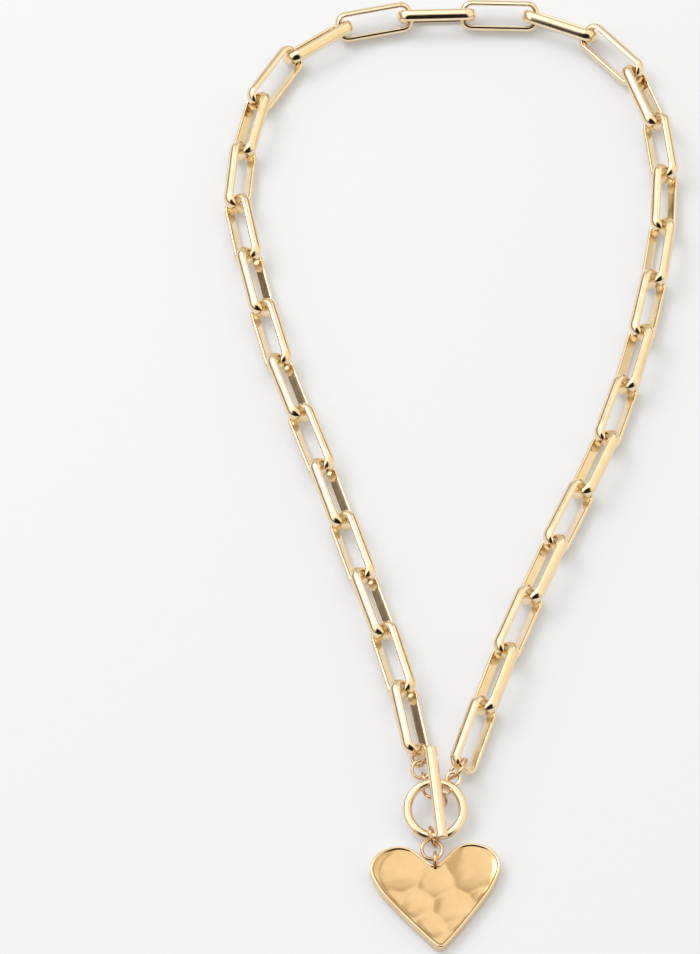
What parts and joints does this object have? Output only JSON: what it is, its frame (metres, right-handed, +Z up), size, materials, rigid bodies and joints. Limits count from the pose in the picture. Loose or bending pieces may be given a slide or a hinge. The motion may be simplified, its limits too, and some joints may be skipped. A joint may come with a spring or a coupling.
{
  "type": "pendant necklace",
  "caption": "Paperclip-link chain necklace lying closed, with a toggle clasp at the front and a hammered heart pendant hanging from the clasp's ring by jump rings.",
  "frame": {"origin": "on the surface the necklace lies on, under the centre of its bounding box", "axes": "+Y from the heart's tip to the far end of the loop, +Z up from the surface, +X to the right seen from above with the heart nearest"},
  "size_m": [0.0988, 0.2328, 0.0099],
  "materials": {
    "chain_gold": "polished pale gold plate",
    "ring_gold": "polished pale gold plate",
    "toggle_gold": "bright polished pale gold plate",
    "heart_gold": "satin gold plate over a hammered face"
  },
  "bodies": {
    "link_top": {"link_top": "chain_gold"},
    "left_link_01": {"left_link_01": "chain_gold"},
    "left_link_02": {"left_link_02": "chain_gold"},
    "left_link_03": {"left_link_03": "chain_gold"},
    "left_link_04": {"left_link_04": "chain_gold"},
    "left_link_05": {"left_link_05": "chain_gold"},
    "left_link_06": {"left_link_06": "chain_gold"},
    "left_link_07": {"left_link_07": "chain_gold"},
    "left_link_08": {"left_link_08": "chain_gold"},
    "left_link_09": {"left_link_09": "chain_gold"},
    "left_link_10": {"left_link_10": "chain_gold"},
    "left_link_11": {"left_link_11": "chain_gold"},
    "left_link_12": {"left_link_12": "chain_gold"},
    "left_link_13": {"left_link_13": "chain_gold"},
    "left_link_14": {"left_link_14": "chain_gold"},
    "left_link_15": {"left_link_15": "chain_gold"},
    "tail_ring_1": {"tail_ring_1": "ring_gold"},
    "right_link_01": {"right_link_01": "chain_gold"},
    "right_link_02": {"right_link_02": "chain_gold"},
    "right_link_03": {"right_link_03": "chain_gold"},
    "right_link_04": {"right_link_04": "chain_gold"},
    "right_link_05": {"right_link_05": "chain_gold"},
    "right_link_06": {"right_link_06": "chain_gold"},
    "right_link_07": {"right_link_07": "chain_gold"},
    "right_link_08": {"right_link_08": "chain_gold"},
    "right_link_09": {"right_link_09": "chain_gold"},
    "right_link_10": {"right_link_10": "chain_gold"},
    "right_link_11": {"right_link_11": "chain_gold"},
    "right_link_12": {"right_link_12": "chain_gold"},
    "right_link_13": {"right_link_13": "chain_gold"},
    "right_link_14": {"right_link_14": "chain_gold"},
    "right_link_15": {"right_link_15": "chain_gold"},
    "right_link_16": {"right_link_16": "chain_gold"},
    "toggle_ring": {"toggle_ring": "toggle_gold"},
    "tail_ring_2": {"tail_ring_2": "ring_gold"},
    "tail_ring_3": {"tail_ring_3": "ring_gold"},
    "tail_ring_4": {"tail_ring_4": "ring_gold"},
    "tail_ring_5": {"tail_ring_5": "ring_gold"},
    "toggle_bar": {"toggle_bar": "toggle_gold"},
    "connector_ring": {"connector_ring": "ring_gold"},
    "pendant_ring_upper": {"pendant_ring_upper": "ring_gold"},
    "pendant_ring_lower": {"pendant_ring_lower": "ring_gold"},
    "heart_pendant": {"heart_pendant": "heart_gold"}
  },
  "joints": [
    {"name": "left_link_01_turn", "type": "hinge", "parent": "link_top", "child": "left_link_01", "pos_m": [-0.00978, 0.11197, 0.00335], "axis": [0, 0, 1], "range_deg": [-13.4, 15.5]},
    {"name": "left_link_02_turn", "type": "hinge", "parent": "left_link_01", "child": "left_link_02", "pos_m": [-0.02342, 0.10891, 0.00335], "axis": [0, 0, 1], "range_deg": [-6.2, 6.7]},
    {"name": "left_link_03_turn", "type": "hinge", "parent": "left_link_02", "child": "left_link_03", "pos_m": [-0.03478, 0.10078, 0.00335], "axis": [0, 0, 1], "range_deg": [-4.4, 5.1]},
    {"name": "left_link_04_turn", "type": "hinge", "parent": "left_link_03", "child": "left_link_04", "pos_m": [-0.04205, 0.08886, 0.00335], "axis": [0, 0, 1], "range_deg": [-3.1, 3.6]},
    {"name": "left_link_05_turn", "type": "hinge", "parent": "left_link_04", "child": "left_link_05", "pos_m": [-0.04523, 0.07525, 0.00335], "axis": [0, 0, 1], "range_deg": [-3.7, 3.2]},
    {"name": "left_link_06_turn", "type": "hinge", "parent": "left_link_05", "child": "left_link_06", "pos_m": [-0.04642, 0.06133, 0.00335], "axis": [0, 0, 1], "range_deg": [-9.5, 8.2]},
    {"name": "left_link_07_turn", "type": "hinge", "parent": "left_link_06", "child": "left_link_07", "pos_m": [-0.04376, 0.04762, 0.00335], "axis": [0, 0, 1], "range_deg": [-9, 7.8]},
    {"name": "left_link_08_turn", "type": "hinge", "parent": "left_link_07", "child": "left_link_08", "pos_m": [-0.04064, 0.034, 0.00335], "axis": [0, 0, 1], "range_deg": [-10.4, 9]},
    {"name": "left_link_09_turn", "type": "hinge", "parent": "left_link_08", "child": "left_link_09", "pos_m": [-0.03705, 0.0205, 0.00335], "axis": [0, 0, 1], "range_deg": [-12.8, 11.1]},
    {"name": "left_link_10_turn", "type": "hinge", "parent": "left_link_09", "child": "left_link_10", "pos_m": [-0.03246, 0.0073, 0.00335], "axis": [0, 0, 1], "range_deg": [-14.2, 12.3]},
    {"name": "left_link_11_turn", "type": "hinge", "parent": "left_link_10", "child": "left_link_11", "pos_m": [-0.02788, -0.00589, 0.00335], "axis": [0, 0, 1], "range_deg": [-12.7, 11]},
    {"name": "left_link_12_turn", "type": "hinge", "parent": "left_link_11", "child": "left_link_12", "pos_m": [-0.02358, -0.01919, 0.00335], "axis": [0, 0, 1], "range_deg": [-7.3, 6.3]},
    {"name": "left_link_13_turn", "type": "hinge", "parent": "left_link_12", "child": "left_link_13", "pos_m": [-0.01934, -0.0325, 0.00335], "axis": [0, 0, 1], "range_deg": [-3.1, 3.6]},
    {"name": "left_link_14_turn", "type": "hinge", "parent": "left_link_13", "child": "left_link_14", "pos_m": [-0.01503, -0.04579, 0.00335], "axis": [0, 0, 1], "range_deg": [-6.3, 7.3]},
    {"name": "left_link_15_turn", "type": "hinge", "parent": "left_link_14", "child": "left_link_15", "pos_m": [-0.01126, -0.05924, 0.00335], "axis": [0, 0, 1], "range_deg": [-10.2, 11.8]},
    {"name": "tail_ring_1_turn", "type": "hinge", "parent": "left_link_15", "child": "tail_ring_1", "pos_m": [-0.00861, -0.07295, 0.00335], "axis": [0, 0, 1], "range_deg": [-12, 13.8]},
    {"name": "right_link_01_turn", "type": "hinge", "parent": "link_top", "child": "right_link_01", "pos_m": [0.00418, 0.11241, 0.00335], "axis": [0, 0, 1], "range_deg": [-9, 7.8]},
    {"name": "right_link_02_turn", "type": "hinge", "parent": "right_link_01", "child": "right_link_02", "pos_m": [0.01814, 0.11203, 0.00335], "axis": [0, 0, 1], "range_deg": [-9, 13.8]},
    {"name": "right_link_03_turn", "type": "hinge", "parent": "right_link_02", "child": "right_link_03", "pos_m": [0.03109, 0.10677, 0.00335], "axis": [0, 0, 1], "range_deg": [-4.7, 4.1]},
    {"name": "right_link_04_turn", "type": "hinge", "parent": "right_link_03", "child": "right_link_04", "pos_m": [0.0403, 0.09627, 0.00335], "axis": [0, 0, 1], "range_deg": [-4, 3.5]},
    {"name": "right_link_05_turn", "type": "hinge", "parent": "right_link_04", "child": "right_link_05", "pos_m": [0.04488, 0.08307, 0.00335], "axis": [0, 0, 1], "range_deg": [-3.6, 3.1]},
    {"name": "right_link_06_turn", "type": "hinge", "parent": "right_link_05", "child": "right_link_06", "pos_m": [0.04639, 0.06918, 0.00335], "axis": [0, 0, 1], "range_deg": [-3.1, 3.6]},
    {"name": "right_link_07_turn", "type": "hinge", "parent": "right_link_06", "child": "right_link_07", "pos_m": [0.04546, 0.05525, 0.00335], "axis": [0, 0, 1], "range_deg": [-8.6, 10]},
    {"name": "right_link_08_turn", "type": "hinge", "parent": "right_link_07", "child": "right_link_08", "pos_m": [0.04312, 0.04147, 0.00335], "axis": [0, 0, 1], "range_deg": [-11, 12.7]},
    {"name": "right_link_09_turn", "type": "hinge", "parent": "right_link_08", "child": "right_link_09", "pos_m": [0.04005, 0.02784, 0.00335], "axis": [0, 0, 1], "range_deg": [-14.1, 16.3]},
    {"name": "right_link_10_turn", "type": "hinge", "parent": "right_link_09", "child": "right_link_10", "pos_m": [0.03631, 0.01438, 0.00335], "axis": [0, 0, 1], "range_deg": [-15.2, 17.6]},
    {"name": "right_link_11_turn", "type": "hinge", "parent": "right_link_10", "child": "right_link_11", "pos_m": [0.03188, 0.00113, 0.00335], "axis": [0, 0, 1], "range_deg": [-11.9, 13.8]},
    {"name": "right_link_12_turn", "type": "hinge", "parent": "right_link_11", "child": "right_link_12", "pos_m": [0.02634, -0.01169, 0.00335], "axis": [0, 0, 1], "range_deg": [-4.7, 5.4]},
    {"name": "right_link_13_turn", "type": "hinge", "parent": "right_link_12", "child": "right_link_13", "pos_m": [0.02054, -0.0244, 0.00335], "axis": [0, 0, 1], "range_deg": [-3.6, 3.1]},
    {"name": "right_link_14_turn", "type": "hinge", "parent": "right_link_13", "child": "right_link_14", "pos_m": [0.01509, -0.03726, 0.00335], "axis": [0, 0, 1], "range_deg": [-9.8, 8.5]},
    {"name": "right_link_15_turn", "type": "hinge", "parent": "right_link_14", "child": "right_link_15", "pos_m": [0.00989, -0.05023, 0.00335], "axis": [0, 0, 1], "range_deg": [-11.6, 10]},
    {"name": "right_link_16_turn", "type": "hinge", "parent": "right_link_15", "child": "right_link_16", "pos_m": [0.00524, -0.0634, 0.00335], "axis": [0, 0, 1], "range_deg": [-10.5, 9.1]},
    {"name": "toggle_ring_turn", "type": "hinge", "parent": "right_link_16", "child": "toggle_ring", "pos_m": [0.00084, -0.07666, 0.00335], "axis": [0, 0, 1], "range_deg": [-9.3, 4.9]},
    {"name": "tail_ring_2_spin", "type": "hinge", "parent": "tail_ring_1", "child": "tail_ring_2", "pos_m": [-0.0076, -0.0773, 0.0023], "axis": [0, -0.2707, 0.9627], "continuous": true},
    {"name": "tail_ring_3_spin", "type": "hinge", "parent": "tail_ring_1", "child": "tail_ring_3", "pos_m": [-0.0063, -0.0797, 0.002], "axis": [0.7888, 0.4194, 0.4493], "continuous": true},
    {"name": "tail_ring_4_spin", "type": "hinge", "parent": "tail_ring_1", "child": "tail_ring_4", "pos_m": [-0.0054, -0.0822, 0.0025], "axis": [0.1101, 0.1602, 0.9809], "continuous": true},
    {"name": "tail_ring_5_spin", "type": "hinge", "parent": "tail_ring_1", "child": "tail_ring_5", "pos_m": [-0.004, -0.0843, 0.00315], "axis": [-0.7181, -0.6184, 0.3192], "continuous": true},
    {"name": "toggle_bar_swing", "type": "hinge", "parent": "tail_ring_1", "child": "toggle_bar", "pos_m": [-0.00363, -0.08427, 0.00474], "axis": [0, -0.2419, 0.9703], "range_deg": [-3, 10]},
    {"name": "connector_ring_spin", "type": "hinge", "parent": "toggle_ring", "child": "connector_ring", "pos_m": [-0.0004, -0.0783, 0.0044], "axis": [-0.7187, 0.4392, 0.539], "continuous": true},
    {"name": "pendant_ring_upper_slide_round", "type": "hinge", "parent": "toggle_ring", "child": "pendant_ring_upper", "pos_m": [-0.0049, -0.087, 0.0034], "axis": [0, -0.2419, 0.9703], "range_deg": [-14, 3]},
    {"name": "pendant_ring_lower_turn", "type": "hinge", "parent": "pendant_ring_upper", "child": "pendant_ring_lower", "pos_m": [-0.0054, -0.09275, 0.0024], "axis": [0, 0, 1], "range_deg": [-9, 15]},
    {"name": "heart_lift", "type": "hinge", "parent": "pendant_ring_lower", "child": "heart_pendant", "pos_m": [-0.005, -0.0979, 0.0021], "axis": [-1, 0, 0], "range_deg": [0, 45]}
  ],
  "couplings": [
    {"joint": "left_link_01_turn", "follows": "right_link_01_turn", "ratio": -0.8618},
    {"joint": "left_link_02_turn", "follows": "right_link_01_turn", "ratio": -0.3946},
    {"joint": "left_link_03_turn", "follows": "right_link_01_turn", "ratio": -0.2824},
    {"joint": "left_link_04_turn", "follows": "right_link_01_turn", "ratio": -0.1995},
    {"joint": "left_link_05_turn", "follows": "right_link_01_turn", "ratio": 0.2038},
    {"joint": "left_link_06_turn", "follows": "right_link_01_turn", "ratio": 0.5257},
    {"joint": "left_link_07_turn", "follows": "right_link_01_turn", "ratio": 0.4988},
    {"joint": "left_link_08_turn", "follows": "right_link_01_turn", "ratio": 0.5773},
    {"joint": "left_link_09_turn", "follows": "right_link_01_turn", "ratio": 0.7102},
    {"joint": "left_link_10_turn", "follows": "right_link_01_turn", "ratio": 0.7909},
    {"joint": "left_link_11_turn", "follows": "right_link_01_turn", "ratio": 0.7072},
    {"joint": "left_link_12_turn", "follows": "right_link_01_turn", "ratio": 0.4048},
    {"joint": "left_link_13_turn", "follows": "right_link_01_turn", "ratio": -0.2},
    {"joint": "left_link_14_turn", "follows": "right_link_01_turn", "ratio": -0.4052},
    {"joint": "left_link_15_turn", "follows": "right_link_01_turn", "ratio": -0.6553},
    {"joint": "tail_ring_1_turn", "follows": "right_link_01_turn", "ratio": -0.7663},
    {"joint": "right_link_02_turn", "follows": "right_link_01_turn", "ratio": 0.8874},
    {"joint": "right_link_03_turn", "follows": "right_link_01_turn", "ratio": 0.261},
    {"joint": "right_link_04_turn", "follows": "right_link_01_turn", "ratio": 0.2248},
    {"joint": "right_link_05_turn", "follows": "right_link_01_turn", "ratio": 0.1995},
    {"joint": "right_link_06_turn", "follows": "right_link_01_turn", "ratio": -0.2004},
    {"joint": "right_link_07_turn", "follows": "right_link_01_turn", "ratio": -0.5539},
    {"joint": "right_link_08_turn", "follows": "right_link_01_turn", "ratio": -0.7056},
    {"joint": "right_link_09_turn", "follows": "right_link_01_turn", "ratio": -0.9061},
    {"joint": "right_link_10_turn", "follows": "right_link_01_turn", "ratio": -0.9762},
    {"joint": "right_link_11_turn", "follows": "right_link_01_turn", "ratio": -0.7641},
    {"joint": "right_link_12_turn", "follows": "right_link_01_turn", "ratio": -0.2998},
    {"joint": "right_link_13_turn", "follows": "right_link_01_turn", "ratio": 0.2},
    {"joint": "right_link_14_turn", "follows": "right_link_01_turn", "ratio": 0.5426},
    {"joint": "right_link_15_turn", "follows": "right_link_01_turn", "ratio": 0.6431},
    {"joint": "right_link_16_turn", "follows": "right_link_01_turn", "ratio": 0.5849},
    {"joint": "toggle_ring_turn", "follows": "right_link_01_turn", "ratio": 0.5163}
  ]
}
